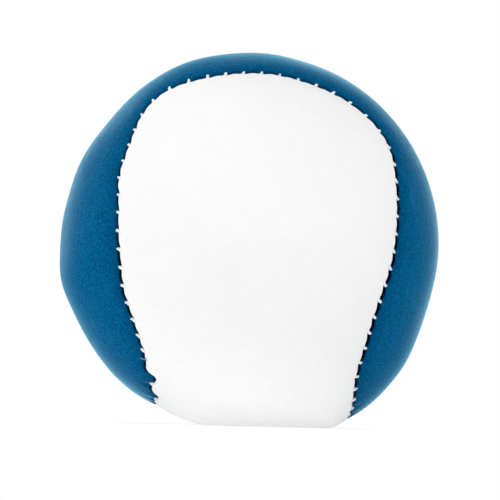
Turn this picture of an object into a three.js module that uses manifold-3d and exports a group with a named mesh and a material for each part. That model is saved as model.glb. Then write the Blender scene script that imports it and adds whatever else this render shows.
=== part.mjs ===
// A small kickball for foot juggling: two dumbbell-shaped leathercloth panels, whip-stitched edge to edge
// along one closed seam and filled with loose pellets. It lies on a surface, with the pellets run to one side.
// Millimetres, +Z up, front towards -Y. The origin is on the resting flat, straight below the ball's centre.

import * as THREE from "three";
import { mergeVertices } from "three/addons/utils/BufferGeometryUtils.js";
import Module from "manifold-3d";

// The filled bag. It is round but for the flat it rests on and a swelling low on the right.
const BALL_DIAMETER = 50.8;
const RESTING_SINK = 0.7;
const RESTING_BLEND = 0.2;
const SLUMP_SWELL = 1.7;
const SLUMP_DROP_DEGREES = 55;
const SLUMP_SPREAD_DEGREES = 22;

// The panel pattern, as angles at the ball's centre. Both panels are cut from it.
const LOBE_REACH_DEGREES = 60.6;
const LOBE_SWELL_DEGREES = 19.9;
const TIP_FLATTENING_DEGREES = 3.4;

// The leathercloth and the seam. The edges turn in round a fold and lie back to back inside the bag.
const CLOTH_THICKNESS = 0.7;
const FOLD_INSIDE_RADIUS = 0.1;
const SEAM_GAP = 0.3;
const STITCH_PITCH = 2.37;
const NEEDLE_BELOW_FOLD = 0.1;
const SEAM_ALLOWANCE = 1.6;

// The thread, which passes through the needle holes and wraps round the two cut edges. A length of the seam is
// left open for filling, and a second thread closes it.
const THREAD_DIAMETER = 0.4;
const NEEDLE_CLEARANCE = 0.1;
const THREAD_CLEARANCE = 0.12;
const KNOT_DIAMETER = 0.9;
const KNOT_LEAD = 0.4;
const FILLING_GAP = 24;

// The fill: a packed mass of pellets, and a loose layer on its level top.
const FILL_CLEARANCE = 0.4;
const PELLET_DIAMETER = 4;
const PELLET_LENGTH = 3;
const PELLET_END_DIAMETER = 2.4;
const PELLET_GAP = 0.3;
const PELLET_RINGS = 2;
const PELLET_TURN_DEGREES = 7.5;

// Facets: columns across a panel and across the fill, and sides of a pellet.
const OUTSIDE_COLUMNS = 8;
const INSIDE_COLUMNS = 7;
const FILL_COLUMNS = 5;
const PELLET_SIDES = 8;

const WHITE_CLOTH = new THREE.MeshStandardMaterial({ color: 0xf3f3f1, roughness: 0.5, metalness: 0 });
const BLUE_CLOTH = new THREE.MeshStandardMaterial({ color: 0x0c6299, roughness: 0.45, metalness: 0 });
const WHITE_THREAD = new THREE.MeshStandardMaterial({ color: 0xf2f1ec, roughness: 0.8, metalness: 0 });
const PELLET_PLASTIC = new THREE.MeshStandardMaterial({ color: 0xe6e2d6, roughness: 0.4, metalness: 0 });

const BALL_RADIUS = BALL_DIAMETER / 2;
const CENTRE_HEIGHT = BALL_RADIUS - RESTING_SINK;
const FOLD_RADIUS = CLOTH_THICKNESS + FOLD_INSIDE_RADIUS;
const NEEDLE_RADIUS = THREAD_DIAMETER / 2 + NEEDLE_CLEARANCE;
const STITCH_DEPTH = FOLD_RADIUS + NEEDLE_BELOW_FOLD + NEEDLE_RADIUS;
const CUT_EDGE_DEPTH = STITCH_DEPTH + SEAM_ALLOWANCE;
const CLOTH_BACK = SEAM_GAP / 2 + CLOTH_THICKNESS;
const WHITE_SIDE = 1;
const BLUE_SIDE = -1;

// The share of a stitch by which the thread moves along the seam as it goes down behind either cut edge.
const WRAP_ADVANCE = 1 / 3;

const wasm = await Module();
wasm.setup();

const radians = THREE.MathUtils.degToRad;

// The seam line on the round ball. It starts at the white panel's front tip and runs to the right.
class SeamCurve extends THREE.Curve {
  getPoint(share, target = new THREE.Vector3()) {
    const turn = 2 * Math.PI * share;
    const reach = radians(LOBE_REACH_DEGREES) * Math.cos(2 * turn);
    const latitude = reach - radians(TIP_FLATTENING_DEGREES) * Math.cos(6 * turn);
    const longitude = turn + radians(LOBE_SWELL_DEGREES) * Math.sin(4 * turn);
    target.set(Math.sin(longitude), -Math.cos(longitude), 0).multiplyScalar(Math.cos(latitude));
    target.z = Math.sin(latitude);
    return target.multiplyScalar(BALL_RADIUS);
  }
}

const seam = new SeamCurve();
seam.arcLengthDivisions = 2000;

// Each lobe has the same whole number of stitches on either side of its tip, evenly spaced.
const STITCH_COUNT = 8 * Math.round(seam.getLength() / (8 * STITCH_PITCH));
const STITCH_SPACING = seam.getLength() / STITCH_COUNT;

// Above zero the value itself, below it zero, with a smooth curve of the given half height between.
function settled(height, blend) {
  if (height >= blend) {
    return height;
  }
  if (height <= -blend) {
    return 0;
  }
  return (height + blend) ** 2 / (4 * blend);
}

const SLUMP_DIRECTION = new THREE.Vector3(
  Math.cos(radians(SLUMP_DROP_DEGREES)), 0, -Math.sin(radians(SLUMP_DROP_DEGREES)));

// The bag's surface in a direction from the ball's centre, or the surface a depth below it.
function bagPoint(direction, depth) {
  const away = direction.angleTo(SLUMP_DIRECTION) / radians(SLUMP_SPREAD_DEGREES);
  const radius = BALL_RADIUS + SLUMP_SWELL * Math.exp(-(away ** 2)) - depth;
  const point = direction.clone().multiplyScalar(radius);
  point.z = depth + settled(CENTRE_HEIGHT + point.z - depth, RESTING_BLEND);
  return point;
}

// Directions at a stitch, or between two: out of the ball, along the seam and across it to the white panel.
function seamFrame(stitch) {
  const share = THREE.MathUtils.euclideanModulo(stitch, STITCH_COUNT) / STITCH_COUNT;
  const out = seam.getPointAt(share).normalize();
  const along = seam.getTangentAt(share).projectOnPlane(out).normalize();
  const toWhite = along.clone().cross(out);
  return { out, along, toWhite };
}

// The direction of a place a distance across the seam, on the white panel where the distance is positive.
function seamDirection(stitch, across) {
  const { out, toWhite } = seamFrame(stitch);
  const angle = across / BALL_RADIUS;
  return out.multiplyScalar(Math.cos(angle)).addScaledVector(toWhite, Math.sin(angle));
}

const seamPoint = (stitch, across, depth) => bagPoint(seamDirection(stitch, across), depth);

// Joins a grid of points with triangles, leaving out those that have no area at a lobe's tip.
function sheet(facets, grid) {
  const facet = (a, b, c) => {
    if (!a.equals(b) && !b.equals(c) && !c.equals(a)) {
      facets.push(a, b, c);
    }
  };
  for (let row = 0; row + 1 < grid.length; row += 1) {
    for (let column = 0; column + 1 < grid[row].length; column += 1) {
      const [a, b] = [grid[row][column], grid[row + 1][column]];
      const [c, d] = [grid[row + 1][column + 1], grid[row][column + 1]];
      facet(a, b, d);
      facet(b, c, d);
    }
  }
}

function facetGeometry(facets, turnedOver) {
  const corners = turnedOver ? facets.toReversed() : facets;
  const geometry = new THREE.BufferGeometry().setFromPoints(corners);
  return mergeVertices(geometry, 1e-4);
}

function toSolid(geometry) {
  const bare = geometry.clone();
  bare.deleteAttribute("normal");
  bare.deleteAttribute("uv");
  const merged = mergeVertices(bare, 1e-4);
  const vertProperties = new Float32Array(merged.attributes.position.array);
  const triVerts = new Uint32Array(merged.index.array);
  return new wasm.Manifold(new wasm.Mesh({ numProp: 3, vertProperties, triVerts }));
}

function toGeometry(solid) {
  const mesh = solid.getMesh();
  const geometry = new THREE.BufferGeometry();
  geometry.setAttribute("position", new THREE.BufferAttribute(mesh.vertProperties, 3));
  geometry.setIndex(new THREE.BufferAttribute(mesh.triVerts, 1));
  geometry.computeVertexNormals();
  return geometry;
}

// A panel's face from one lobe's tip, over the neck, to the other lobe's tip. Each row is a great-circle arc
// between two facing stitches, so a row shrinks to a point at either tip.
function panelFace(side, inset, depth, rowStep, columns) {
  const tip = side === WHITE_SIDE ? 0 : STITCH_COUNT / 4;
  const rows = [];
  for (let row = 0; row <= STITCH_COUNT / 2; row += rowStep) {
    const left = seamDirection(tip - row, side * inset);
    const right = seamDirection(tip + row, side * inset);
    const turn = new THREE.Quaternion().setFromUnitVectors(left, right);
    const points = [];
    for (let column = 0; column <= columns; column += 1) {
      const turned = new THREE.Quaternion().slerp(turn, column / columns);
      const direction = column === columns ? right : left.clone().applyQuaternion(turned);
      points.push(bagPoint(direction, depth));
    }
    rows.push(points);
  }
  return rows;
}

// A closed line that follows the seam at one place in the section of the panel's edge.
function seamRing(side, across, depth, step = 1) {
  const ring = [];
  for (let stitch = 0; stitch <= STITCH_COUNT; stitch += step) {
    ring.push(seamPoint(stitch, side * across, depth));
  }
  return ring;
}

// The needle leaves a three-cornered hole through both turned-in edges at each stitch. Its corners are given
// where it meets one face of an edge: first the one nearest the last stitch, then the deepest, then the next.
const NEEDLE_REACH = Math.sqrt(3) * NEEDLE_RADIUS;
const NEEDLE_PHASE = (NEEDLE_REACH + NEEDLE_BELOW_FOLD) / STITCH_SPACING;

function needleHole(stitch, side, across) {
  const reach = NEEDLE_REACH / STITCH_SPACING;
  const centre = stitch + NEEDLE_PHASE;
  return [
    seamPoint(centre - reach, side * across, STITCH_DEPTH - NEEDLE_RADIUS),
    seamPoint(centre, side * across, STITCH_DEPTH + 2 * NEEDLE_RADIUS),
    seamPoint(centre + reach, side * across, STITCH_DEPTH - NEEDLE_RADIUS),
  ];
}

// Joins two outlines that run the same way round, corner to corner.
function joinOutlines(facets, outline, other) {
  sheet(facets, [[...other, other[0]], [...outline, outline[0]]]);
}

// The turned-in edge from its inner fold, round the cut, to its outer fold, with the needle holes in it.
function turnedInEdge(facets, side) {
  const innerFold = seamRing(side, CLOTH_BACK, FOLD_RADIUS);
  const innerCut = seamRing(side, CLOTH_BACK, CUT_EDGE_DEPTH);
  const outerCut = seamRing(side, SEAM_GAP / 2, CUT_EDGE_DEPTH);
  const outerFold = seamRing(side, SEAM_GAP / 2, FOLD_RADIUS);
  sheet(facets, [innerCut, outerCut]);
  for (let stitch = 0; stitch < STITCH_COUNT; stitch += 1) {
    const next = stitch + 1;
    const innerHole = needleHole(stitch, side, CLOTH_BACK);
    const outerHole = needleHole(stitch, side, SEAM_GAP / 2);
    joinOutlines(facets, [innerFold[stitch], innerCut[stitch], innerFold[next]], innerHole);
    joinOutlines(facets, innerHole, outerHole);
    joinOutlines(facets, outerHole, [outerFold[stitch], outerCut[stitch], outerFold[next]]);
    facets.push(innerCut[stitch], innerCut[next], innerFold[next]);
    facets.push(outerCut[stitch], outerFold[next], outerCut[next]);
  }
}

function panel(side) {
  const bend = FOLD_RADIUS * Math.SQRT1_2;
  const edge = SEAM_GAP / 2 + FOLD_RADIUS;
  const facets = [];
  const outerFace = panelFace(side, edge, 0, 1, OUTSIDE_COLUMNS);
  const innerFace = panelFace(side, edge, CLOTH_THICKNESS, 1, INSIDE_COLUMNS);
  sheet(facets, outerFace);
  sheet(facets, innerFace.map((row) => row.toReversed()));
  sheet(facets, [seamRing(side, edge, CLOTH_THICKNESS), seamRing(side, CLOTH_BACK, FOLD_RADIUS)]);
  turnedInEdge(facets, side);
  sheet(facets, [
    seamRing(side, SEAM_GAP / 2, FOLD_RADIUS),
    seamRing(side, edge - bend, FOLD_RADIUS - bend),
    seamRing(side, edge, 0),
  ]);
  return facetGeometry(facets, side === BLUE_SIDE);
}

// A four-sided thread along a path of { point, along, radius }, with mitred corners and closed ends.
function threadTube(path) {
  const rings = path.map(({ point, along, radius }, index) => {
    const before = path[Math.max(index - 1, 0)].point;
    const after = path[Math.min(index + 1, path.length - 1)].point;
    const arriving = point.clone().sub(before).normalize();
    const leaving = after.clone().sub(point).normalize();
    const heading = arriving.clone().add(leaving).normalize();
    const flat = along.clone().projectOnPlane(heading).normalize();
    const upright = heading.clone().cross(flat);
    const mitre = 1 / Math.max(heading.dot(arriving), heading.dot(leaving));
    const ring = [];
    for (let corner = 0; corner <= 4; corner += 1) {
      const angle = Math.PI / 4 + (corner % 4) * Math.PI / 2;
      const offset = flat.clone().multiplyScalar(radius * Math.cos(angle));
      ring.push(point.clone().add(offset.addScaledVector(upright, radius * mitre * Math.sin(angle))));
    }
    return ring;
  });
  const facets = [];
  const cap = (ring) => Array(5).fill(ring[0]);
  const start = rings[0];
  const end = rings[rings.length - 1];
  sheet(facets, [cap(start), ...rings, cap(end)]);
  return facetGeometry(facets, true);
}

// A run of whip stitches: across through a pair of needle holes, then back round the cut edges to the next.
// It starts from a knot behind the blue edge and ends in a knot behind the white one.
function threadRun(firstStitch, stitches) {
  const thread = THREAD_DIAMETER / 2;
  const knot = KNOT_DIAMETER / 2;
  const behind = CLOTH_BACK + THREAD_CLEARANCE;
  const under = CUT_EDGE_DEPTH + THREAD_CLEARANCE;
  const at = (stitch, across, depth, radius) => (
    { point: seamPoint(stitch, across, depth), along: seamFrame(stitch).along, radius });
  const hole = (stitch, side) => at(stitch, side * (behind + thread), STITCH_DEPTH, thread);
  const wrap = (stitch, side) => at(stitch, side * (behind + thread), under + thread, thread);

  // A knot swells and narrows again over its own length, a short lead along the seam from the last wrap.
  const knotEnd = (stitch, side, heading) => [[0, thread], [0.25, knot], [0.75, knot], [1, thread]].map(
    ([share, radius]) => {
      const lead = (KNOT_LEAD + share * KNOT_DIAMETER) / STITCH_SPACING;
      return at(stitch + heading * lead, side * (behind + knot), under + knot, radius);
    });

  const firstHole = firstStitch + NEEDLE_PHASE;
  const lastHole = firstHole + stitches - 1;
  const path = knotEnd(firstHole - WRAP_ADVANCE, BLUE_SIDE, -1).reverse();
  for (let place = firstHole; place <= lastHole; place += 1) {
    path.push(
      wrap(place - WRAP_ADVANCE, BLUE_SIDE),
      hole(place, BLUE_SIDE),
      hole(place, WHITE_SIDE),
      wrap(place + WRAP_ADVANCE, WHITE_SIDE));
  }
  path.push(...knotEnd(lastHole + WRAP_ADVANCE, WHITE_SIDE, 1));
  return threadTube(path);
}

// The loose pellets lie in a hexagon. It is level with the widest place that clears the seam all round.
const GROOVE_HALF_WIDTH = CLOTH_BACK + THREAD_CLEARANCE + KNOT_DIAMETER + FILL_CLEARANCE;
const GROOVE_DEPTH = CUT_EDGE_DEPTH + THREAD_CLEARANCE + KNOT_DIAMETER + FILL_CLEARANCE;
const PELLET_SPACING = PELLET_DIAMETER + PELLET_GAP;
const LAYER_RADIUS = PELLET_RINGS * PELLET_SPACING + PELLET_DIAMETER / 2;
const LAYER_TOP = CENTRE_HEIGHT + Math.sqrt((BALL_RADIUS - GROOVE_DEPTH) ** 2 - LAYER_RADIUS ** 2);
const FILL_LEVEL = LAYER_TOP - PELLET_LENGTH - PELLET_GAP;

// The packed pellets fill the bag out to the cloth, with a groove round the turned-in seam and a level top.
function packedFill() {
  const depth = CLOTH_THICKNESS + FILL_CLEARANCE;
  const step = 2;
  const facets = [];
  const whiteFace = panelFace(WHITE_SIDE, GROOVE_HALF_WIDTH, depth, step, FILL_COLUMNS);
  const blueFace = panelFace(BLUE_SIDE, GROOVE_HALF_WIDTH, depth, step, FILL_COLUMNS);
  sheet(facets, whiteFace);
  sheet(facets, blueFace.map((row) => row.toReversed()));
  sheet(facets, [
    seamRing(BLUE_SIDE, GROOVE_HALF_WIDTH, depth, step),
    seamRing(BLUE_SIDE, GROOVE_HALF_WIDTH, GROOVE_DEPTH, step),
    seamRing(WHITE_SIDE, GROOVE_HALF_WIDTH, GROOVE_DEPTH, step),
    seamRing(WHITE_SIDE, GROOVE_HALF_WIDTH, depth, step),
  ]);
  const headspace = new THREE.BoxGeometry(BALL_DIAMETER, BALL_DIAMETER, BALL_DIAMETER);
  headspace.translate(0, 0, FILL_LEVEL + BALL_DIAMETER / 2);
  return toGeometry(toSolid(facetGeometry(facets, false)).subtract(toSolid(headspace)));
}

// A pellet is a short cut strand with rounded ends.
function pelletGeometry() {
  const half = PELLET_LENGTH / 2;
  const profile = [
    new THREE.Vector2(0, -half),
    new THREE.Vector2(PELLET_END_DIAMETER / 2, -half),
    new THREE.Vector2(PELLET_DIAMETER / 2, 0),
    new THREE.Vector2(PELLET_END_DIAMETER / 2, half),
    new THREE.Vector2(0, half),
  ];
  return new THREE.LatheGeometry(profile, PELLET_SIDES).rotateX(Math.PI / 2);
}

function loosePellets() {
  const layer = new THREE.Group();
  const shape = pelletGeometry();
  for (let row = -PELLET_RINGS; row <= PELLET_RINGS; row += 1) {
    const length = 2 * PELLET_RINGS + 1 - Math.abs(row);
    for (let place = 0; place < length; place += 1) {
      const number = layer.children.length + 1;
      const pellet = namedMesh(`pellet_${String(number).padStart(2, "0")}`, shape, PELLET_PLASTIC);
      const along = place - (length - 1) / 2;
      pellet.position.set(along * PELLET_SPACING, row * PELLET_SPACING * Math.sin(Math.PI / 3), 0);
      pellet.rotation.z = number * radians(PELLET_TURN_DEGREES);
      layer.add(pellet);
    }
  }
  layer.position.z = FILL_LEVEL + PELLET_GAP + PELLET_LENGTH / 2;
  return layer;
}

function namedMesh(name, geometry, material) {
  const mesh = new THREE.Mesh(geometry, material);
  mesh.name = name;
  return mesh;
}

// The filling gap is just past the left blue lobe's tip, low on the front. It is closed last.
const closingStart = 3 * STITCH_COUNT / 4 + 1;
const closingStitches = Math.round(FILLING_GAP / STITCH_SPACING);
const mainStart = closingStart + closingStitches;
const mainStitches = STITCH_COUNT - closingStitches;

const kickball = new THREE.Group();
kickball.add(
  namedMesh("white_panel", panel(WHITE_SIDE), WHITE_CLOTH),
  namedMesh("blue_panel", panel(BLUE_SIDE), BLUE_CLOTH),
  namedMesh("seam_thread", threadRun(mainStart, mainStitches), WHITE_THREAD),
  namedMesh("closing_thread", threadRun(closingStart, closingStitches), WHITE_THREAD),
  namedMesh("pellet_fill", packedFill(), PELLET_PLASTIC),
  loosePellets(),
);

export default kickball;
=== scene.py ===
import math

import bmesh
import bpy
import numpy as np
from mathutils import Matrix, Vector


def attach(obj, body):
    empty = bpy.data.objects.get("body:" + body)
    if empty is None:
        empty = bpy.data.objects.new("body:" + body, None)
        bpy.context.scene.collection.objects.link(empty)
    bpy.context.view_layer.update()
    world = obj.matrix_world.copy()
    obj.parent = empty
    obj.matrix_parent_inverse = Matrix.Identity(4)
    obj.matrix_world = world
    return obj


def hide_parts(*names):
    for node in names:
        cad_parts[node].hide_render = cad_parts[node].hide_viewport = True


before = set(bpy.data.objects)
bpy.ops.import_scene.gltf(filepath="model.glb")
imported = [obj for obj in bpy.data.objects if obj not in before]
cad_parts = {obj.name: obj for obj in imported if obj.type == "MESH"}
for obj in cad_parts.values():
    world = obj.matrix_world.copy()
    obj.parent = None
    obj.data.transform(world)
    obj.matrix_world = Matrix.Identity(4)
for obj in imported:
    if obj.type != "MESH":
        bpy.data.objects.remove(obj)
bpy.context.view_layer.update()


# White panel
# One of the two dumbbell-shaped panels of the cover, cut from coated leathercloth. Its edge is turned in all
# round and pulled tight by the stitches, so it puckers between them and the seam sits in a shallow valley.

mm = 0.001
ball_radius = 25.4 * mm
centre_height = 24.7 * mm
rest_blend = 0.2 * mm

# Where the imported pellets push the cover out, and where it lies slack: angle in the front view, lift, spread.
# Each swelling reaches some degrees further to the front and back than it does round the outline.
slump = (-55.0, 1.7 * mm, 22.0)
lumps = [
    (-64.0, 0.45 * mm, 6.0),
    (-36.0, 0.25 * mm, 8.0),
    (-16.0, -0.12 * mm, 9.0),
    (76.0, -0.12 * mm, 9.0),
    (112.0, 0.22 * mm, 11.0),
    (142.0, -0.46 * mm, 13.0),
    (166.0, -0.24 * mm, 9.0),
    (193.0, 0.46 * mm, 8.0),
    (228.0, 0.14 * mm, 9.0),
]
further_back = 14.0


def lengthless(vectors):
    return vectors / np.linalg.norm(vectors, axis=-1, keepdims=True)


def eased(low, high, value):
    share = np.clip((value - low) / (high - low), 0.0, 1.0)
    return share * share * (3.0 - 2.0 * share)


def pushed_out(direction):
    lift = np.zeros(direction.shape[:-1])
    back = np.degrees(np.arcsin(np.clip(direction[..., 1], -1.0, 1.0)))
    for angle, height, spread in [slump, *lumps]:
        way = np.array([math.cos(math.radians(angle)), 0.0, math.sin(math.radians(angle))])
        away = np.degrees(np.arccos(np.clip(direction @ way, -1.0, 1.0)))
        around = np.maximum(away ** 2 - back ** 2, 0.0)
        lift += height * np.exp(-around / spread ** 2 - (back / (spread + further_back)) ** 2)
    return lift


# The cover's surface in a direction from the ball's centre, or a depth below it, with the flat it rests on.
def bag(direction, depth):
    point = direction * (ball_radius + pushed_out(direction) - depth)[..., None]
    floor_depth = np.maximum(depth, 0.0)
    height = centre_height + point[..., 2] - floor_depth
    near = np.clip(height, -rest_blend, rest_blend)
    rested = np.where(height > rest_blend, height, (near + rest_blend) ** 2 / (4.0 * rest_blend))
    point[..., 2] = floor_depth + rested
    return point


# The seam line, from the white panel's front tip round to the right, measured in stitches.
stitch_count = 112
lobe_reach, lobe_swell, tip_flattening = np.radians([60.6, 19.9, 3.4])


def pattern_line(turn):
    latitude = lobe_reach * np.cos(2.0 * turn) - tip_flattening * np.cos(6.0 * turn)
    longitude = turn + lobe_swell * np.sin(4.0 * turn)
    flat = np.cos(latitude)
    return np.stack([np.sin(longitude) * flat, -np.cos(longitude) * flat, np.sin(latitude)], axis=-1)


pattern_points = 9001
pattern_turns = np.linspace(0.0, 2.0 * math.pi, pattern_points)
pattern_steps = np.linalg.norm(np.diff(pattern_line(pattern_turns), axis=0), axis=1)
pattern_run = np.concatenate([[0.0], np.cumsum(pattern_steps)])
stitch_length = pattern_run[-1] * ball_radius / stitch_count
small_turn = 1e-4


# A value that changes along the closed seam, given at some stitches and eased between them.
def along_seam(given, place, ease):
    fine = np.arange(0.0, stitch_count, 0.125)
    stitches = np.array([stitch for stitch, value in given])
    values = np.array([value for stitch, value in given])
    table = np.interp(fine, stitches, values, period=stitch_count)
    reach = np.minimum(fine, stitch_count - fine)
    weight = np.exp(-((reach / ease) ** 2))
    table = np.fft.irfft(np.fft.rfft(table) * np.fft.rfft(weight / weight.sum()), len(fine))
    return np.interp(place, fine, table, period=stitch_count)


# Hand sewing lets the seam wander to one side or the other of the pattern line: the stitch, and how far in
# millimetres. Positive is to the white panel.
wander = [
    (0.0, -0.75), (1.1, -0.70), (2.2, -0.15), (3.8, 0.10), (5.6, -0.60), (7.0, -1.45), (8.3, -2.00),
    (9.4, -1.65), (10.6, -0.95), (12.2, -0.55), (14.0, -0.55), (15.4, -0.70), (17.2, -0.30),
    (19.4, -0.15), (20.4, -0.35), (21.4, -0.25), (22.5, -0.42), (23.7, -0.60), (24.9, -0.30),
    (26.0, 0.27), (27.0, 0.95), (28.0, 1.40), (29.3, 1.20), (31.5, 0.45), (35.0, 0.10), (41.0, -0.25),
    (49.0, 0.30), (56.0, -0.30), (63.0, 0.20), (71.0, -0.15), (76.0, 0.10), (79.0, 0.70), (82.0, 1.70),
    (84.0, 2.20), (85.4, 2.10), (86.8, 1.25), (88.5, 0.40), (89.2, 0.00), (90.4, -0.40), (91.0, -0.45),
    (92.4, -0.50), (94.9, -0.95), (96.0, -0.40), (97.6, -0.10), (99.6, 0.40), (101.0, -0.25),
    (102.7, -0.05), (103.8, -0.35), (105.2, -1.55), (106.2, -2.10), (107.0, -2.30), (107.8, -1.50),
    (108.6, -0.95), (110.0, -0.75),
]
wander_ease = 0.7

# The stitches aren't quite evenly spaced: the stitch, and how far it lies past its even place.
stitch_shift = [
    (0.0, 0.20), (5.0, 0.40), (10.0, 0.65), (14.0, 0.70), (18.0, 0.50), (21.5, 0.22), (24.0, 0.54),
    (26.0, 0.82), (31.0, 0.70), (37.0, 0.30), (56.0, 0.15), (84.0, 0.05), (92.0, 0.00), (98.0, 0.05),
    (104.0, 0.15),
]
shift_ease = 1.5


def seam_frame(place):
    run = np.mod(place, stitch_count) / stitch_count * pattern_run[-1]
    turn = np.interp(run, pattern_run, pattern_turns)
    out = pattern_line(turn)
    along = pattern_line(turn + small_turn) - pattern_line(turn - small_turn)
    along = lengthless(along - out * (along * out).sum(axis=-1, keepdims=True))
    return out, along, np.cross(along, out)


def seam_direction(place, across):
    out, along, to_white = seam_frame(place)
    wandered = across + along_seam(wander, place, wander_ease) * mm
    angle = (wandered / ball_radius)[..., None]
    return out * np.cos(angle) + to_white * np.sin(angle)


# The pull of the thread. Along each stitch the edges lean slowly to the blue side and then spring back.
tooth_lean = 0.20 * mm
tooth_start = -0.25
tooth_turn = 0.84
tooth_full = tooth_turn + 0.02
pucker_depth = 0.09 * mm
pucker_lag = 0.06
pucker_near = 0.8 * mm
pucker_far = 2.0 * mm
pucker_far_share = 0.14
closing_gain = 1.2
valley_depth = 0.28 * mm
valley_width = 4.2 * mm
gap_half = 0.085 * mm
fold_radius = 0.42 * mm
cloth_thickness = 0.70 * mm
turned_in = 2.6 * mm
hard_pulled = (88.2, 1.7)
stitch_hand = np.random.default_rng(7).uniform(0.65, 1.35, stitch_count)


def since_stitch(place):
    return np.mod(place - along_seam(stitch_shift, place, shift_ease), 1.0)


# How far the two edges stand apart, as a share: most at the right, least at the upper left.
gap_open = [
    (0.0, 0.50), (4.5, 0.55), (7.0, 0.95), (8.7, 1.40), (9.8, 1.60), (12.0, 1.30), (13.8, 0.92),
    (15.2, 1.65), (17.5, 1.85), (20.2, 1.25), (21.6, 0.85), (22.6, 0.95), (25.0, 0.65), (30.0, 0.90),
    (90.5, 0.70), (92.4, 0.55), (93.6, 0.95), (95.0, 0.80), (96.6, 1.00), (98.3, 0.40), (99.6, 0.55),
    (101.5, 0.25), (103.0, 0.50), (107.0, 0.50),
]
gap_ease = 0.8


def opened(place):
    return along_seam(gap_open, place, gap_ease)


def closing_pull(place):
    middle, spread = hard_pulled
    return np.exp(-(((np.mod(place, stitch_count) - middle) / spread) ** 2))


# At the closing end the thread is pulled so hard that the blue edge hooks over the white one between
# stitches: the stitch, and how far the edges move to the blue side in millimetres.
hooked_edge = [
    (84.3, 0.0), (84.8, 0.35), (85.3, 0.65), (85.9, 0.70), (86.3, 0.40), (86.6, -0.05), (86.9, -0.05),
    (87.1, 0.25), (87.3, 0.60), (87.6, 0.75), (88.1, 0.70), (88.3, 0.35), (88.6, -0.25), (88.8, -0.40),
    (89.0, -0.45), (89.15, -0.35), (89.35, 0.50), (89.55, 0.65), (89.9, 0.50), (90.35, 0.15),
    (90.7, 0.05), (91.1, 0.0),
]
hook_start = (84.3, 85.0)
hook_end = (90.5, 91.1)


def hooked(place):
    spots = np.mod(place, stitch_count)
    reach = eased(*hook_start, spots) * (1.0 - eased(*hook_end, spots))
    return reach, np.interp(spots, *zip(*hooked_edge)) * mm


def hand(place):
    return np.interp(place, np.arange(stitch_count), stitch_hand, period=stitch_count)


def lean(place):
    since = since_stitch(place)
    rising = eased(tooth_start, tooth_full, since)
    falling = 1.0 - eased(tooth_turn, 1.0, since) * (1.0 - eased(tooth_start, tooth_full, 0.0))
    shape = np.where(since < tooth_turn, rising, falling) - 0.5
    reach, hook = hooked(place)
    return tooth_lean * hand(place) * shape * (1.0 - reach) + hook


def sunk(place, distance):
    swing = np.cos(2.0 * math.pi * (since_stitch(place) + pucker_lag))
    pull = pucker_depth * hand(place) * (1.0 + closing_gain * closing_pull(place))
    slope = 1.0 - np.minimum(distance / valley_width, 1.0)
    fading = np.exp(-distance / pucker_near) + pucker_far_share * np.exp(-distance / pucker_far)
    pucker = pull * swing * fading * slope
    return valley_depth * slope ** 3 + pucker * slope


# Round the white lobes' tips the white edge is tucked a little under the blue one, which opens the blue fold
# to the light.
tuck_depth = 0.24 * mm
tuck_reach = 3.0 * mm
tip_share = [
    (0.0, 1.0), (4.5, 1.0), (8.0, 0.2), (13.0, 0.1), (28.0, 0.15), (47.0, 0.15), (51.5, 1.0), (60.5, 1.0),
    (65.0, 0.15), (84.0, 0.15), (99.0, 0.1), (104.0, 0.2), (107.5, 1.0),
]
tip_ease = 1.2


def at_tip(place):
    return along_seam(tip_share, place, tip_ease)


# Shallow dents and swellings of the filled cover, which a hand leaves all over it.
dent_count = 26
dent_height = 0.017 * mm
usual_wave = 9.0
dent_rng = np.random.default_rng(19)
dent_ways = lengthless(dent_rng.normal(size=(dent_count, 3)))
dent_waves = dent_rng.uniform(5.0, 17.0, dent_count)
dent_starts = dent_rng.uniform(0.0, 2.0 * math.pi, dent_count)


def dented(direction):
    waves = np.cos((direction @ dent_ways.T) * dent_waves + dent_starts)
    return dent_height * (waves * (usual_wave / dent_waves)).sum(axis=-1)


# Joins two closed lines of points with faces. The second may have half as many points as the first.
def band(faces, line, other):
    for step in range(len(other)):
        after = (step + 1) % len(other)
        if len(line) == len(other):
            faces.append((line[step], line[after], other[after], other[step]))
        else:
            middle = line[2 * step + 1]
            faces.append((line[2 * step], middle, other[step]))
            faces.append((middle, other[after], other[step]))
            faces.append((middle, line[(2 * step + 2) % len(line)], other[after]))


# A panel's middle line begins this many stitches from each lobe's tip.
lobe_stitches = 9


# Fills the inside of a closed line with rings that close in on the panel's middle line, from lobe to lobe.
def fill_inside(points, faces, line, line_directions, tip, steps, surface):
    count = len(line)
    half = count // 2
    lobe = count * lobe_stitches // stitch_count
    rows = np.arange(lobe, half - lobe + 1)
    middle = lengthless(line_directions[(tip - rows) % count] + line_directions[(tip + rows) % count])
    past_tip = (np.arange(count) - tip) % count
    foot = np.clip(np.minimum(past_tip, count - past_tip), lobe, half - lobe) - lobe
    angle = np.arccos(np.clip((line_directions * middle[foot]).sum(axis=-1), -1.0, 1.0))[None, :, None]
    share = (np.arange(1, steps) / steps)[:, None, None]
    outer_part = np.sin((1.0 - share) * angle) * line_directions
    inside = lengthless(outer_part + np.sin(share * angle) * middle[foot])
    start = sum(len(group) for group in points)
    points.append(surface(np.concatenate([inside.reshape(-1, 3), middle])))
    rings = [line, *(start + np.arange((steps - 1) * count).reshape(steps - 1, count))]
    rings.append(start + (steps - 1) * count + foot)
    for ring, inner in zip(rings, rings[1:]):
        for step in range(count):
            after = (step + 1) % count
            corners = (ring[step], ring[after], inner[after], inner[step])
            faces.append(tuple(dict.fromkeys(int(corner) for corner in corners)))


# Points all along the seam line, evenly spaced.
points_per_stitch = 16
seam_samples = np.arange(0.0, stitch_count, 1.0 / points_per_stitch)
seam_sample_directions = seam_direction(seam_samples, np.zeros(len(seam_samples)))


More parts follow.
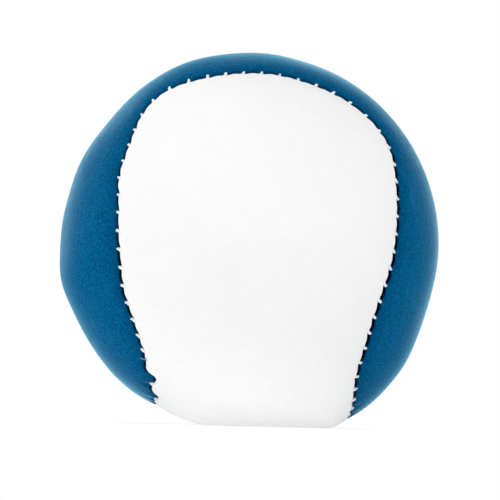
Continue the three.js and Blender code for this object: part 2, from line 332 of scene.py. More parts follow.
# The nearest place on the seam to each direction, and how far off it is. Done in batches to save memory.
def nearest_on_seam(direction):
    batch = 2000
    place = np.empty(len(direction))
    distance = np.empty(len(direction))
    for start in range(0, len(direction), batch):
        near = direction[start:start + batch] @ seam_sample_directions.T
        best = near.argmax(axis=1)
        place[start:start + batch] = seam_samples[best]
        distance[start:start + batch] = np.arccos(np.clip(near.max(axis=1), -1.0, 1.0)) * ball_radius
    return place, distance


# A needle hole is a small dimple beside each stitch, a little way in from the fold, painted dark as shade.
hole_inset = 0.12 * mm
hole_radius = 0.11 * mm
hole_depth = 0.08 * mm
hole_lag = 0.14


def hole_mark(place, beyond_fold):
    since = np.mod(since_stitch(place) + hole_lag + 0.5, 1.0) - 0.5
    away = np.hypot(since * stitch_length, beyond_fold - hole_inset) / hole_radius
    return np.exp(-(away ** 2))


# How the edges behave near the seam: how far their lean reaches, the share of the gap left at a stitch, how
# much it opens between two, how much a slanting edge widens it at most, and how far the painted shade reaches.
lean_reach = 1.6 * mm
gap_at_stitch = 0.75
gap_between = 0.5
slant_step = 0.08
widest_slant = 2.2
shade_reach = 1.7 * mm

# Beside a stitch the thread holds the tucked white edge up: by what share, where past the stitch, how widely.
held_share = 0.75
held_lag = 0.55
held_width = 0.13

# Shade is painted into the fold between these depths: once in white, and in two steps in blue. A lobe's
# tip adds its share of a millimetre to the blue ones. Where the gap is shut, less of blue's shade is left.
white_dark = (0.20 * mm, 0.38 * mm)
blue_dim = (0.01 * mm, 0.12 * mm)
blue_dim_tip = (-0.01, 0.03)
blue_dim_share = 0.55
blue_dark = (0.06 * mm, 0.16 * mm)
blue_dark_tip = (0.37, 0.39)
blue_dark_share = 0.45
shut_share = 0.25

# The points across a panel's edge: depths of the turned-in edge, turns round the fold in degrees, and
# distances past the fold in millimetres.
inner_depths = (1.5 * mm, 0.9 * mm)
fold_turns = (0.0, 14.0, 28.0, 42.0, 56.0, 70.0, 80.0, 90.0)
close_steps = (0.10, 0.20, 0.30, 0.40, 0.52, 0.68)
wider_steps = (0.92, 1.25, 1.7, 2.3, 3.1)
front_rings = 20
back_rings = 8
cut_bulge = 0.03 * mm
back_fold_depth = 0.95 * mm
back_fold_inset = 1.05 * mm
back_fold_drop = 0.05 * mm


# A panel as a closed skin: outer face, fold, turned-in edge and back. side is 1 for white and -1 for blue.
def panel(name, side):
    fine = seam_samples
    medium = fine[::2]
    coarse = fine[::4]
    tip_stitch = 0 if side > 0 else stitch_count // 4
    points, faces, fold_shade, near_seam, holes = [], [], [], [], []

    def ring(place, inset, depth, beyond_fold=None):
        change = lean(place + slant_step) - lean(place - slant_step)
        slant = np.abs(change) / (2.0 * slant_step * stitch_length)
        gap = gap_half * opened(place) * (gap_at_stitch + gap_between * np.sin(math.pi * since_stitch(place)))
        gap = gap * np.minimum(np.hypot(1.0, slant), widest_slant)
        distance = inset if beyond_fold is None else inset + beyond_fold
        across = side * (gap + distance) - lean(place) * math.exp(-distance / lean_reach)
        mark = np.zeros(len(place)) if beyond_fold is None else hole_mark(place, beyond_fold)
        deep = depth + sunk(place, distance) + hole_depth * mark
        if side > 0:
            past_stitch = np.mod(since_stitch(place) + held_lag, 1.0) - 0.5
            held_up = held_share * np.exp(-(past_stitch / held_width) ** 2)
            deep += tuck_depth * at_tip(place) * (1.0 - held_up) * max(1.0 - distance / tuck_reach, 0.0) ** 2
            shade = eased(*white_dark, depth)
        else:
            tip = at_tip(place) * mm
            dim_start, dim_end = (plain + share * tip for plain, share in zip(blue_dim, blue_dim_tip))
            dark_start, dark_end = (plain + share * tip for plain, share in zip(blue_dark, blue_dark_tip))
            shade = blue_dim_share * eased(dim_start, dim_end, depth)
            shade = shade + blue_dark_share * eased(dark_start, dark_end, depth)
            shade = shade * np.minimum(shut_share + (1.0 - shut_share) * opened(place), 1.0)
        direction = seam_direction(place, across)
        line = sum(len(group) for group in points) + np.arange(len(place))
        points.append(bag(direction, deep - dented(direction)))
        fold_shade.append(np.broadcast_to(shade, len(place)))
        near_seam.append(np.full(len(place), math.exp(-distance / shade_reach)))
        holes.append(mark)
        return line, direction

    cut, _ = ring(fine, 0.0, turned_in)
    lines = [cut]
    for depth in inner_depths:
        lines.append(ring(fine, 0.0, depth)[0])
    for turn in np.radians(fold_turns):
        inset = fold_radius * (1.0 - math.cos(turn))
        depth = fold_radius * (1.0 - math.sin(turn))
        lines.append(ring(fine, inset, depth)[0])
    for beyond in close_steps:
        lines.append(ring(fine, fold_radius, 0.0, beyond * mm)[0])
    for beyond in wider_steps:
        line, direction = ring(medium, fold_radius, 0.0, beyond * mm)
        lines.append(line)
    for line, other in zip(lines, lines[1:]):
        band(faces, line, other)

    def face_surface(directions):
        place, distance = nearest_on_seam(directions)
        away = np.maximum(distance - gap_half, 0.0)
        fold_shade.append(np.zeros(len(directions)))
        near_seam.append(np.exp(-away / shade_reach))
        holes.append(np.zeros(len(directions)))
        return bag(directions, sunk(place, away) - dented(directions))

    medium_tip = tip_stitch * points_per_stitch // 2
    fill_inside(points, faces, lines[-1], direction, medium_tip, front_rings, face_surface)

    cut_middle, _ = ring(medium, 0.5 * cloth_thickness, turned_in + cut_bulge)
    band(faces, cut, cut_middle)
    back_cut, _ = ring(coarse, cloth_thickness, turned_in)
    band(faces, cut_middle, back_cut)
    back_fold, _ = ring(coarse, cloth_thickness, back_fold_depth)
    band(faces, back_cut, back_fold)
    back_edge, direction = ring(coarse, back_fold_inset, cloth_thickness + back_fold_drop)
    band(faces, back_fold, back_edge)

    # The panel's inside is painted fully dark, as shade.
    def back_surface(directions):
        place, distance = nearest_on_seam(directions)
        fold_shade.append(np.ones(len(directions)))
        near_seam.append(np.zeros(len(directions)))
        holes.append(np.zeros(len(directions)))
        return bag(directions, cloth_thickness + sunk(place, distance) - dented(directions))

    coarse_tip = tip_stitch * points_per_stitch // 4
    fill_inside(points, faces, back_edge, direction, coarse_tip, back_rings, back_surface)

    mesh = bpy.data.meshes.new(name)
    mesh.from_pydata(np.concatenate(points).tolist(), [], faces)
    for label, groups in (("fold_shade", fold_shade), ("near_seam", near_seam), ("needle_hole", holes)):
        values = np.concatenate(groups).astype(np.float32)
        mesh.attributes.new(label, "FLOAT", "POINT").data.foreach_set("value", values)
    return finished_piece(name, mesh)


# Turns a mesh's faces outwards, shades it smoothly and puts it in the scene.
def finished_piece(name, mesh):
    work = bmesh.new()
    work.from_mesh(mesh)
    bmesh.ops.recalc_face_normals(work, faces=work.faces)
    work.to_mesh(mesh)
    work.free()
    mesh.polygons.foreach_set("use_smooth", np.ones(len(mesh.polygons), bool))
    mesh.update()
    piece = bpy.data.objects.new(name, mesh)
    bpy.context.scene.collection.objects.link(piece)
    return piece


# A material's nodes, made and joined in one line each.
class Finish:
    def __init__(self, name):
        self.material = bpy.data.materials.new(name)
        self.material.use_nodes = True
        self.tree = self.material.node_tree
        self.surface = self.tree.nodes["Principled BSDF"]

    def node(self, kind, **settings):
        made = self.tree.nodes.new(kind)
        for key, value in settings.items():
            setattr(made, key, value)
        return made

    def join(self, source, target):
        self.tree.links.new(source, target)

    def noise(self, where, scale, detail, roughness=0.5):
        made = self.node("ShaderNodeTexNoise")
        made.inputs["Scale"].default_value = scale
        made.inputs["Detail"].default_value = detail
        made.inputs["Roughness"].default_value = roughness
        self.join(where, made.inputs["Vector"])
        return made.outputs["Fac"]

    def between(self, value, low, high, to_low, to_high):
        made = self.node("ShaderNodeMapRange", interpolation_type="SMOOTHSTEP")
        for key, number in (("From Min", low), ("From Max", high), ("To Min", to_low), ("To Max", to_high)):
            made.inputs[key].default_value = number
        self.join(value, made.inputs["Value"])
        return made.outputs["Result"]

    def combined(self, first, second, operation="ADD"):
        made = self.node("ShaderNodeMath", operation=operation)
        for number, value in enumerate((first, second)):
            if isinstance(value, float):
                made.inputs[number].default_value = value
            else:
                self.join(value, made.inputs[number])
        return made.outputs["Value"]

    def tint(self, share, first, second):
        made = self.node("ShaderNodeMix", data_type="RGBA")
        self.join(share, made.inputs["Factor"])
        for key, colour in (("A", first), ("B", second)):
            socket = next(s for s in made.inputs if s.name == key and s.type == "RGBA")
            if isinstance(colour, tuple):
                socket.default_value = (*colour, 1.0)
            else:
                self.join(colour, socket)
        return next(s for s in made.outputs if s.type == "RGBA")

    def mesh_value(self, label):
        return self.node("ShaderNodeAttribute", attribute_name=label).outputs["Fac"]


# Coated leathercloth: an even dyed coat with a fine pressed grain, a little cloudy, rubbed in places.
def leathercloth(name, coat, cloudy, speckle, rubbed, shaded, painted_fold_shade, painted_hole_shade, gloss, rub, haze):
    finish = Finish(name)
    where = finish.node("ShaderNodeTexCoord").outputs["Object"]
    cloud_noise = finish.noise(where, scale=210.0, detail=4.0, roughness=0.6)
    cloud = finish.between(cloud_noise, 0.32, 0.70, 0.0, 1.0)
    colour = finish.tint(cloud, coat, cloudy)
    nap = finish.node("ShaderNodeMapping")
    nap.inputs["Scale"].default_value = (0.8, 0.8, 2.0)
    finish.join(where, nap.inputs["Vector"])
    along_nap = nap.outputs["Vector"]
    speckle_noise = finish.noise(along_nap, scale=3000.0, detail=3.0, roughness=0.75)
    speckles = finish.between(speckle_noise, 0.38, 0.62, 0.0, 1.0)
    colour = finish.tint(speckles, colour, speckle)

    streaks = finish.node("ShaderNodeMapping")
    streaks.inputs["Rotation"].default_value = (0.0, 0.9, 0.4)
    streaks.inputs["Scale"].default_value = (900.0, 420.0, 160.0)
    finish.join(where, streaks.inputs["Vector"])
    streak = finish.noise(streaks.outputs["Vector"], scale=1.0, detail=5.0, roughness=0.65)
    patch_noise = finish.noise(where, scale=95.0, detail=2.0)
    patch = finish.between(patch_noise, 0.46, 0.66, 0.0, 1.0)
    rub_share = finish.combined(finish.between(streak, 0.50, 0.78, 0.0, rub), patch, "MULTIPLY")
    colour = finish.tint(rub_share, colour, rubbed)

    # Painted shade: the colour darkens towards the seam, where the valley lies in shade.
    near = finish.mesh_value("near_seam")
    colour = finish.tint(finish.combined(near, 0.55, "MULTIPLY"), colour, shaded)
    # Painted shade in each needle hole.
    hole = finish.combined(finish.mesh_value("needle_hole"), 0.62, "MULTIPLY")
    colour = finish.tint(hole, colour, painted_hole_shade)
    # Painted shade in the fold and the gap between the panels, and over each panel's inside.
    colour = finish.tint(finish.mesh_value("fold_shade"), colour, painted_fold_shade)
    finish.join(colour, finish.surface.inputs["Base Color"])

    grain = finish.node("ShaderNodeTexVoronoi", feature="SMOOTH_F1")
    grain.inputs["Scale"].default_value = 2600.0
    grain.inputs["Smoothness"].default_value = 0.6
    finish.join(where, grain.inputs["Vector"])
    pores = finish.noise(along_nap, scale=6500.0, detail=3.0, roughness=0.6)
    creases = finish.noise(where, scale=700.0, detail=5.0, roughness=0.62)
    grain_height = finish.combined(grain.outputs["Distance"], 0.9, "MULTIPLY")
    height = finish.combined(grain_height, finish.combined(pores, 0.5, "MULTIPLY"))
    height = finish.combined(height, finish.combined(creases, 0.9, "MULTIPLY"))
    bump = finish.node("ShaderNodeBump")
    bump.inputs["Strength"].default_value = 0.55
    bump.inputs["Distance"].default_value = 0.045 * mm
    finish.join(height, bump.inputs["Height"])
    finish.join(bump.outputs["Normal"], finish.surface.inputs["Normal"])

    worn_noise = finish.noise(where, scale=520.0, detail=4.0, roughness=0.6)
    worn = finish.between(worn_noise, 0.3, 0.72, gloss - 0.06, gloss + 0.08)
    finish.join(worn, finish.surface.inputs["Roughness"])
    finish.surface.inputs["Specular IOR Level"].default_value = 0.002
    finish.surface.inputs["Sheen Weight"].default_value = haze
    finish.surface.inputs["Sheen Roughness"].default_value = 0.23
    finish.surface.inputs["Sheen Tint"].default_value = (0.30, 0.78, 1.0, 1.0)
    return finish.material


white_panel = panel("white_panel_cover", 1)
white_panel.data.materials.append(leathercloth(
    "white_leathercloth",
    coat=(0.885, 0.885, 0.880),
    cloudy=(0.905, 0.905, 0.900),
    speckle=(0.870, 0.870, 0.866),
    rubbed=(0.865, 0.865, 0.865),
    shaded=(0.860, 0.865, 0.870),
    painted_fold_shade=(0.004, 0.005, 0.008),
    painted_hole_shade=(0.30, 0.36, 0.42),
    gloss=0.46,
    rub=0.35,
    haze=0.0))
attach(white_panel, "root")
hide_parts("white_panel")


# Blue panel
# The second panel, cut from the same pattern in blue leathercloth. It is set a quarter turn round and upside
# down, so that each lobe sits in the other panel's neck. The same stitches pull its turned-in edge.

blue_panel = panel("blue_panel_cover", -1)
blue_panel.data.materials.append(leathercloth(
    "blue_leathercloth",
    coat=(0.0003, 0.060, 0.155),
    cloudy=(0.0003, 0.070, 0.178),
    speckle=(0.0006, 0.136, 0.306),
    rubbed=(0.008, 0.160, 0.335),
    shaded=(0.0003, 0.036, 0.108),
    painted_fold_shade=(0.0002, 0.001, 0.005),
    painted_hole_shade=(0.0003, 0.030, 0.090),
    gloss=0.34,
    rub=0.8,
    haze=1.0))
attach(blue_panel, "root")
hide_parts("blue_panel")


# Sewing thread
# A white three-ply thread that whip-stitches the turned-in edges. Each stitch comes up through the blue edge,
# crosses the gap to a hole in the white one, and goes back inside round both cut edges to the next stitch.

thread_radius = 0.185 * mm
thread_sides = 12
ply_twist = 0.9 * mm
ply_ridge = 0.16
behind_cloth = cloth_thickness + gap_half + 0.25 * mm

# A stitch: share of a stitch along the seam, way across it, depth, and how much the bite at a tip moves it.
stitch_path = [
    (-0.33, -behind_cloth, turned_in + 0.35 * mm, 0.0),
    (-0.06, -behind_cloth, 1.35 * mm, 0.0),
    (0.00, -0.50 * mm, 0.84 * mm, 0.5),
    (0.01, -0.28 * mm, 0.46 * mm, 1.0),
    (0.00, -0.12 * mm, 0.18 * mm, 1.0),
    (-0.02, 0.02 * mm, 0.08 * mm, 0.5),
    (-0.06, 0.20 * mm, 0.06 * mm, 0.0),
    (-0.11, 0.42 * mm, 0.10 * mm, 0.0),
    (-0.14, 0.62 * mm, 0.34 * mm, 0.0),
    (-0.12, behind_cloth, 1.20 * mm, 0.0),
    (0.22, behind_cloth, turned_in + 0.35 * mm, 0.0),
]
tip_bite = 0.14 * mm
bite_rise = 0.6
path_steps = 5

# Some stitches are pulled right into the seam: four at the lower right, and three under the hooked edge.
buried_stitches = (25, 26, 27, 28, 87, 89, 90)
buried_depth = 0.60 * mm

# The thread follows the lean and the valley of the cloth down to about this depth, and takes the lean that
# the edge has late in the stitch.
follow_depth = 0.8 * mm
lean_taken = 0.86

# A knot at each end: how much it swells the thread, how many points from the end, and over how many.
knot_swell = 0.28 * mm
knot_middle = 6.0
knot_spread = 2.6


# A smooth line through given points, with the same number of steps between each two.
def smooth_line(given, steps):
    given = np.asarray(given)
    before = np.vstack([given[:1], given[:-1]])
    after = np.vstack([given[1:], given[-1:]])
    slope = (after - before) * 0.5
    share = np.linspace(0.0, 1.0, steps, endpoint=False)[None, :, None]
    start, end, leave, arrive = (value[:, None] for value in (given[:-1], given[1:], slope[:-1], slope[1:]))
    cube, square = share ** 3, share ** 2
    line = (2 * cube - 3 * square + 1) * start + (cube - 2 * square + share) * leave
    line = line + (3 * square - 2 * cube) * end + (cube - square) * arrive
    return np.vstack([line.reshape(-1, 3), given[-1:]])


# A closed tube round a line. Three plies laid together show as three ridges that turn round it.
def thread_tube(line, radius, sides, ridge_height):
    heading = lengthless(np.gradient(line, axis=0))
    run = np.concatenate([[0.0], np.cumsum(np.linalg.norm(np.diff(line, axis=0), axis=1))])
    upright = lengthless(line - np.array([0.0, 0.0, centre_height]))
    flat = lengthless(np.cross(heading, upright + 0.05 * np.roll(heading, 1, axis=1)))
    upright = np.cross(flat, heading)
    angle = np.linspace(0.0, 2.0 * math.pi, sides, endpoint=False)
    twist = 2.0 * math.pi * run[:, None] / (3.0 * ply_twist)
    ridge = 1.0 + ridge_height * np.cos(3.0 * (angle[None, :] - twist))
    reach = (np.broadcast_to(radius, len(line))[:, None] * ridge)[..., None]
    rings = line[:, None] + reach * (
        np.cos(angle)[None, :, None] * flat[:, None] + np.sin(angle)[None, :, None] * upright[:, None])
    points = np.vstack([rings.reshape(-1, 3), line[:1], line[-1:]])
    faces = []
    for step in range(len(line) - 1):
        for side in range(sides):
            after = (side + 1) % sides
            low, high = step * sides, (step + 1) * sides
            faces.append((low + side, low + after, high + after, high + side))
    last = (len(line) - 1) * sides
    for side in range(sides):
        after = (side + 1) % sides
        faces.append((len(line) * sides, after, side))
        faces.append((len(line) * sides + 1, last + side, last + after))
    return points, faces


# Puts tubes together in one piece. Loose fibres are stained by the blue coat.
def thread_piece(name, tubes, fibres):
    points, faces, stains = [], [], []
    for number, (tube_points, tube_faces) in enumerate([*tubes, *fibres]):
        start = sum(len(group) for group in points)
        points.append(tube_points)
        faces.extend(tuple(start + corner for corner in face) for face in tube_faces)
        stains.append(np.full(len(tube_points), float(number >= len(tubes)), np.float32))
    mesh = bpy.data.meshes.new(name)
    mesh.from_pydata(np.concatenate(points).tolist(), [], faces)
    mesh.attributes.new("stain", "FLOAT", "POINT").data.foreach_set("value", np.concatenate(stains))
    return finished_piece(name, mesh)


# The thread of a run of stitches, from its first stitch to its last, with a knot at each end.
def sewn_run(first, stitches):
    shifts = along_seam(stitch_shift, np.arange(first, first + stitches, dtype=float), shift_ease)
    places, across, depth, bite = [], [], [], []
    for stitch, shift in zip(range(first, first + stitches), shifts):
        for step, aside, deep, moved in stitch_path:
            places.append(stitch + shift + step)
            across.append(aside)
            depth.append(deep + (buried_depth if stitch in buried_stitches else 0.0))
            bite.append(moved * tip_bite)
    places, across, depth = np.array(places), np.array(across), np.array(depth)
    bite = np.array(bite) * at_tip(places)
    across = across - bite
    depth = depth - bite_rise * bite
    distance = np.maximum(np.abs(across) - gap_half, 0.0)
    shown = np.exp(-np.maximum(depth, 0.0) / follow_depth)
    leaning = np.where(hooked(places)[0] > 0.5, lean(places), lean(np.floor(places - 0.5) + lean_taken))
    direction = seam_direction(places, across - leaning * shown)
    low = sunk(places, distance) + tuck_depth * at_tip(places) * np.where(across > 0.0, 1.0, 0.0)
    line = smooth_line(bag(direction, depth + low * shown), path_steps)
    knot = np.full(len(line), thread_radius)
    ends = np.minimum(np.arange(len(line)), np.arange(len(line))[::-1])
    knot += knot_swell * np.exp(-((ends - knot_middle) / knot_spread) ** 2)
    return thread_tube(line, knot, thread_sides, ply_ridge)


thread_finish = Finish("sewing_thread")
thread_where = thread_finish.node("ShaderNodeTexCoord").outputs["Object"]
thread_fuzz = thread_finish.noise(thread_where, scale=9000.0, detail=4.0, roughness=0.7)
thread_colour = thread_finish.tint(thread_fuzz, (0.80, 0.80, 0.79), (0.93, 0.93, 0.92))
thread_colour = thread_finish.tint(thread_finish.mesh_value("stain"), thread_colour, (0.13, 0.22, 0.40))
thread_finish.join(thread_colour, thread_finish.surface.inputs["Base Color"])
thread_bump = thread_finish.node("ShaderNodeBump")
thread_bump.inputs["Strength"].default_value = 0.6
thread_bump.inputs["Distance"].default_value = 0.02 * mm
thread_finish.join(thread_fuzz, thread_bump.inputs["Height"])
thread_finish.join(thread_bump.outputs["Normal"], thread_finish.surface.inputs["Normal"])
thread_finish.surface.inputs["Roughness"].default_value = 0.75
thread_finish.surface.inputs["Specular IOR Level"].default_value = 0.2
thread_finish.surface.inputs["Sheen Weight"].default_value = 0.2

first_closing = 85
closing_stitches = 10
seam_run = sewn_run(first_closing + closing_stitches, stitch_count - closing_stitches)
seam_thread = thread_piece("seam_thread_plies", [seam_run], [])
seam_thread.data.materials.append(thread_finish.material)
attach(seam_thread, "root")
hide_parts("seam_thread")


# Closing thread
# A second length of the same thread. It closes the gap through which the bag was filled, from the outside, so
# its stitches are pulled harder. One has frayed into its fibres, which lie loose across the seam.

frayed_place = 90.4
fibre_count = 6
fibre_radius = 0.03 * mm
fibre_sides = 6
fibre_steps = 4
fibre_rng = np.random.default_rng(23)
fibres = []
for fibre in range(fibre_count):
    start, end = fibre_rng.uniform(-0.12, 0.12, 2)
    reach = fibre_rng.uniform(0.45, 0.80) * mm
    rise = fibre_rng.uniform(0.04, 0.14) * mm
    fibre_across = np.array([-0.55 * mm, -0.42 * mm, -0.20 * mm, 0.10 * mm, reach])
    fibre_depth = np.array([0.12 * mm, -0.03 * mm, -0.06 * mm, -0.06 * mm, -rise])
    fibre_places = frayed_place + np.linspace(0.4 * start, end, 5)
    fibre_direction = seam_direction(fibre_places, fibre_across - lean(fibre_places))
    fibre_low = fibre_depth + sunk(fibre_places, np.abs(fibre_across))
    fibre_line = smooth_line(bag(fibre_direction, fibre_low), fibre_steps)
    fibres.append(thread_tube(fibre_line, fibre_radius, fibre_sides, 0.0))
closing_run = sewn_run(first_closing, closing_stitches)
closing_thread = thread_piece("closing_thread_plies", [closing_run], fibres)
closing_thread.data.materials.append(thread_finish.material)
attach(closing_thread, "root")
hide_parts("closing_thread")


# Pellets
# The fill: small cut strands of plastic with rounded ends. They lie packed in layers in the lower bag, and
# the top layer is loose. None touches the cover's turned-in edge or the thread.

pellet_spacing = 4.3 * mm
pellet_layer = 3.3 * mm
pellet_top = 41.5 * mm
pellet_bottom = 4.0 * mm
row_step = 0.866
rows_out = 7
layer_nudge = np.array([0.5, 0.29])
seam_nearness = 5.0 * mm
room_at_seam = 6.9 * mm
room_elsewhere = 4.0 * mm
most_tilt = 0.09
pellet_rng = np.random.default_rng(5)

# The side of a pellet: its radius in millimetres and its height as a share of half the length.
pellet_sides = 10
pellet_half_length = 1.5
pellet_profile = [(0.8, -1.0), (1.2, -0.86), (1.75, -0.45), (2.0, 0.0), (1.75, 0.45), (1.2, 0.86), (0.8, 1.0)]
pellet_points, pellet_faces = [], []
layers = int((pellet_top - pellet_bottom) / pellet_layer)
for layer in range(layers):
    level = pellet_top - layer * pellet_layer
    nudge = layer_nudge * pellet_spacing * (layer % 2)
    for row in range(-rows_out, rows_out + 1):
        for place in range(-rows_out, rows_out + 1):
            right = (place + 0.5 * (row % 2)) * pellet_spacing
            spot = np.array([right, row * pellet_spacing * row_step]) + nudge
            middle = np.array([spot[0], spot[1], level])
            offset = middle - np.array([0.0, 0.0, centre_height])
            reach = np.linalg.norm(offset)
            way = (offset / max(reach, 1e-9))[None, :]
            beside = nearest_on_seam(way)[1][0]
            room = ball_radius - (room_at_seam if beside < seam_nearness else room_elsewhere)
            if reach > room:
                continue
            turn = Matrix.Rotation(pellet_rng.uniform(0.0, 6.28), 3, "Z")
            tilt = Matrix.Rotation(pellet_rng.uniform(-most_tilt, most_tilt), 3, "X")
            pose = np.array(turn @ tilt)
            start = len(pellet_points)
            for radius, height in pellet_profile:
                for side in range(pellet_sides):
                    angle = 2.0 * math.pi * side / pellet_sides
                    upward = pellet_half_length * height
                    corner = np.array([radius * math.cos(angle), radius * math.sin(angle), upward]) * mm
                    pellet_points.append(tuple(pose @ corner + middle))
            last_ring = len(pellet_profile) - 1
            for ring in range(last_ring):
                low = start + ring * pellet_sides
                high = low + pellet_sides
                for side in range(pellet_sides):
                    after = (side + 1) % pellet_sides
                    pellet_faces.append((low + side, low + after, high + after, high + side))
            top = start + last_ring * pellet_sides
            pellet_faces.append(tuple(start + side for side in reversed(range(pellet_sides))))
            pellet_faces.append(tuple(top + side for side in range(pellet_sides)))
pellet_mesh = bpy.data.meshes.new("pellets")
pellet_mesh.from_pydata(pellet_points, [], pellet_faces)
pellets = finished_piece("pellets", pellet_mesh)

pellet_finish = Finish("pellet_plastic")
pellet_where = pellet_finish.node("ShaderNodeTexCoord").outputs["Object"]
pellet_cloud = pellet_finish.noise(pellet_where, scale=300.0, detail=3.0)
pellet_finish.join(
    pellet_finish.tint(pellet_cloud, (0.74, 0.71, 0.62), (0.82, 0.80, 0.73)),
    pellet_finish.surface.inputs["Base Color"])
pellet_scuffs = pellet_finish.noise(pellet_where, scale=1500.0, detail=3.0)
pellet_finish.join(
    pellet_finish.between(pellet_scuffs, 0.3, 0.7, 0.34, 0.5),
    pellet_finish.surface.inputs["Roughness"])
pellets.data.materials.append(pellet_finish.material)
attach(pellets, "root")
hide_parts("pellet_fill", *[f"pellet_{number:02d}" for number in range(1, 20)])


# Floor and backdrop
# A plain table top that takes the ball's soft shadow and fades into a white background. In front of the
# ball the table top glows as painted light from below, and a white card stands behind.

floor_mesh = bpy.data.meshes.new("floor")
floor_half = 1.2
floor_mesh.from_pydata(
    [(-floor_half, -floor_half, 0.0), (floor_half, -floor_half, 0.0),
     (floor_half, floor_half, 0.0), (-floor_half, floor_half, 0.0)], [], [(0, 1, 2, 3)])
floor = bpy.data.objects.new("floor", floor_mesh)
bpy.context.scene.collection.objects.link(floor)

floor_finish = Finish("floor_white")
floor_finish.surface.inputs["Base Color"].default_value = (0.60, 0.60, 0.60, 1.0)
floor_finish.surface.inputs["Roughness"].default_value = 0.9
floor_finish.surface.inputs["Specular IOR Level"].default_value = 0.0
floor_finish.surface.inputs["Emission Color"].default_value = (1.0, 1.0, 1.0, 1.0)
floor_place = floor_finish.node("ShaderNodeTexCoord").outputs["Object"]
floor_parts = floor_finish.node("ShaderNodeSeparateXYZ")
floor_finish.join(floor_place, floor_parts.inputs["Vector"])
# Painted light: the floor glows in front of the ball, though no lamp is there, and lights the ball from below.
glow_edge, glow_end, painted_glow_strength = -0.010, 0.030, 0.52
floor_glow = floor_finish.between(floor_parts.outputs["Y"], glow_edge, glow_end, painted_glow_strength, 0.0)
floor_finish.join(floor_glow, floor_finish.surface.inputs["Emission Strength"])
floor_reach = floor_finish.node("ShaderNodeVectorMath", operation="LENGTH")
floor_finish.join(floor_place, floor_reach.inputs[0])
fade_start, fade_end, fade_under_ball = 0.009, 0.022, 0.55
floor_fade = floor_finish.between(floor_reach.outputs["Value"], fade_start, fade_end, fade_under_ball, 1.0)
ray = floor_finish.node("ShaderNodeLightPath")
seen = floor_finish.combined(ray.outputs["Is Camera Ray"], ray.outputs["Is Glossy Ray"], "MAXIMUM")
seen = floor_finish.combined(seen, ray.outputs["Is Transmission Ray"], "MAXIMUM")
backdrop_white = floor_finish.node("ShaderNodeEmission")
backdrop_white.inputs["Color"].default_value = (1.0, 1.0, 1.0, 1.0)
backdrop_white.inputs["Strength"].default_value = 1.0
faded = floor_finish.node("ShaderNodeMixShader")
floor_finish.join(floor_finish.combined(floor_fade, seen, "MULTIPLY"), faded.inputs["Fac"])
floor_finish.join(floor_finish.surface.outputs["BSDF"], faded.inputs[1])
floor_finish.join(backdrop_white.outputs["Emission"], faded.inputs[2])
floor_finish.join(faded.outputs["Shader"], floor_finish.tree.nodes["Material Output"].inputs["Surface"])
floor_mesh.materials.append(floor_finish.material)

world = bpy.data.worlds.new("studio")
bpy.context.scene.world = world
world.use_nodes = True
sky = world.node_tree
room_light = sky.nodes["Background"]
room_light.inputs["Color"].default_value = (1.0, 1.0, 1.0, 1.0)
room_light.inputs["Strength"].default_value = 0.27
white_card = sky.nodes.new("ShaderNodeBackground")
white_card.inputs["Color"].default_value = (1.0, 1.0, 1.0, 1.0)
white_card.inputs["Strength"].default_value = 1.0
way = sky.nodes.new("ShaderNodeTexCoord")
parts = sky.nodes.new("ShaderNodeSeparateXYZ")
sky.links.new(way.outputs["Generated"], parts.inputs["Vector"])
behind = sky.nodes.new("ShaderNodeMapRange")
behind.interpolation_type = "SMOOTHSTEP"
behind.inputs["From Min"].default_value = 0.05
behind.inputs["From Max"].default_value = 0.65
sky.links.new(parts.outputs["Y"], behind.inputs["Value"])
low_down = sky.nodes.new("ShaderNodeMapRange")
low_down.interpolation_type = "SMOOTHSTEP"
low_down.inputs["From Min"].default_value = 0.70
low_down.inputs["From Max"].default_value = 0.30
sky.links.new(parts.outputs["Z"], low_down.inputs["Value"])
on_card = sky.nodes.new("ShaderNodeMath")
on_card.operation = "MULTIPLY"
sky.links.new(behind.outputs["Result"], on_card.inputs[0])
sky.links.new(low_down.outputs["Result"], on_card.inputs[1])
path = sky.nodes.new("ShaderNodeLightPath")
in_view = on_card.outputs["Value"]
for kind in ("Is Camera Ray", "Is Glossy Ray", "Is Transmission Ray"):
    either = sky.nodes.new("ShaderNodeMath")
    either.operation = "MAXIMUM"
    sky.links.new(in_view, either.inputs[0])
    sky.links.new(path.outputs[kind], either.inputs[1])
    in_view = either.outputs["Value"]
backdrop = sky.nodes.new("ShaderNodeMixShader")
sky.links.new(in_view, backdrop.inputs["Fac"])
sky.links.new(room_light.outputs["Background"], backdrop.inputs[1])
sky.links.new(white_card.outputs["Background"], backdrop.inputs[2])
sky.links.new(backdrop.outputs["Shader"], sky.nodes["World Output"].inputs["Surface"])


# Studio lamps
# Large soft boxes: one in front on the left, one high on the right, one above, one at the left side, and two
# behind the ball that graze its edge.

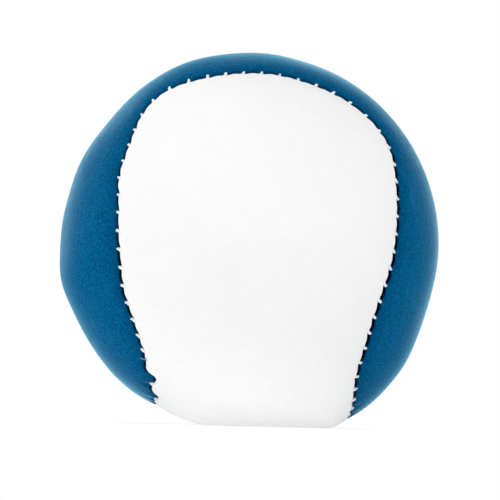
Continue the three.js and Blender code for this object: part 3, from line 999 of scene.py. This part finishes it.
ball_centre = Vector((0.0, 0.0, centre_height))


def soft_box(name, place, size, power):
    lamp = bpy.data.lights.new(name, "AREA")
    lamp.shape = "DISK"
    lamp.size = size
    lamp.energy = power
    holder = bpy.data.objects.new(name, lamp)
    holder.location = place
    holder.rotation_euler = (ball_centre - Vector(place)).to_track_quat("-Z", "Y").to_euler()
    bpy.context.scene.collection.objects.link(holder)


soft_box("soft_box_left", (-0.52, -0.45, 0.20), size=0.6, power=1.12)
soft_box("soft_box_high_right", (0.28, -0.34, 0.52), size=0.6, power=2.40)
soft_box("soft_box_above", (-0.05, -0.30, 0.56), size=0.5, power=0.28)
soft_box("soft_box_side", (-0.68, 0.05, 0.32), size=0.6, power=1.65)
soft_box("soft_box_rim_left", (-0.42, 0.54, 0.22), size=0.6, power=1.40)
soft_box("soft_box_rim_right", (0.30, 0.60, 0.12), size=0.6, power=1.05)


# Camera
# A long lens in front of the ball, a little below its middle and leaning slightly.

# The lens is given by its reach in pixels of a picture this wide. The ball sits a little above the middle.
picture_width = 500.0
lens_reach = 2828.7
ball_above_middle = 7.5
sensor_width = 36.0
camera_azimuth, camera_elevation, camera_lean = np.radians([-2.24, -3.0, 1.53])
camera_distance = 15.0 * ball_radius
camera_back = Vector((
    math.sin(camera_azimuth) * math.cos(camera_elevation),
    -math.cos(camera_azimuth) * math.cos(camera_elevation),
    math.sin(camera_elevation)))
camera_data = bpy.data.cameras.new("camera")
camera_data.sensor_width = sensor_width
camera_data.lens = sensor_width * lens_reach / picture_width
camera_data.clip_start = 0.01
camera_data.clip_end = 10.0
camera = bpy.data.objects.new("camera", camera_data)
look = (-camera_back).to_track_quat("-Z", "Y").to_matrix() @ Matrix.Rotation(camera_lean, 3, "Z")
camera.rotation_euler = look.to_euler()
framing_drop = ball_above_middle / lens_reach * camera_distance
camera.location = ball_centre + camera_back * camera_distance - look @ Vector((0.0, framing_drop, 0.0))
bpy.context.scene.collection.objects.link(camera)
bpy.context.scene.camera = camera
bpy.context.scene.view_settings.view_transform = "Standard"
